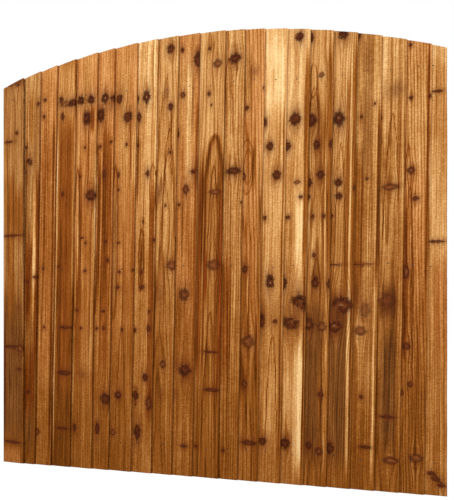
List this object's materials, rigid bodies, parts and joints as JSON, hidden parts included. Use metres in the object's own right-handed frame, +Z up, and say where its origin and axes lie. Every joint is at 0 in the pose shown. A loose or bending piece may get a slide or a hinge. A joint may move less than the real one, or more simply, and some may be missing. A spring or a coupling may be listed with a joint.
{
  "type": "arched featheredge fence panel",
  "caption": "Arched featheredge fence panel: upright tapered boards, each lapping the next, on horizontal back rails between two side battens.",
  "frame": {"origin": "on the outer face of the left side batten, at the middle of its depth and level with the foot of the panel", "axes": "+X along the panel to the right as seen from the board face, +Y from the boards to the rails, +Z up"},
  "size_m": [1.83, 0.0575, 1.8],
  "materials": {
    "treated_board": "rough sawn softwood, brown pressure treatment",
    "treated_batten": "rough sawn softwood, brown pressure treatment"
  },
  "bodies": {
    "root": {"board_01": "treated_board", "board_02": "treated_board", "board_03": "treated_board", "board_04": "treated_board", "board_05": "treated_board", "board_06": "treated_board", "board_07": "treated_board", "board_08": "treated_board", "board_09": "treated_board", "board_10": "treated_board", "board_11": "treated_board", "board_12": "treated_board", "board_13": "treated_board", "board_14": "treated_board", "board_15": "treated_board", "board_16": "treated_board", "board_17": "treated_board", "board_18": "treated_board", "board_19": "treated_board", "board_20": "treated_board", "board_21": "treated_board", "rail_bottom": "treated_batten", "rail_middle": "treated_batten", "rail_top": "treated_batten", "side_batten_left": "treated_batten", "side_batten_right": "treated_batten"}
  },
  "joints": []
}
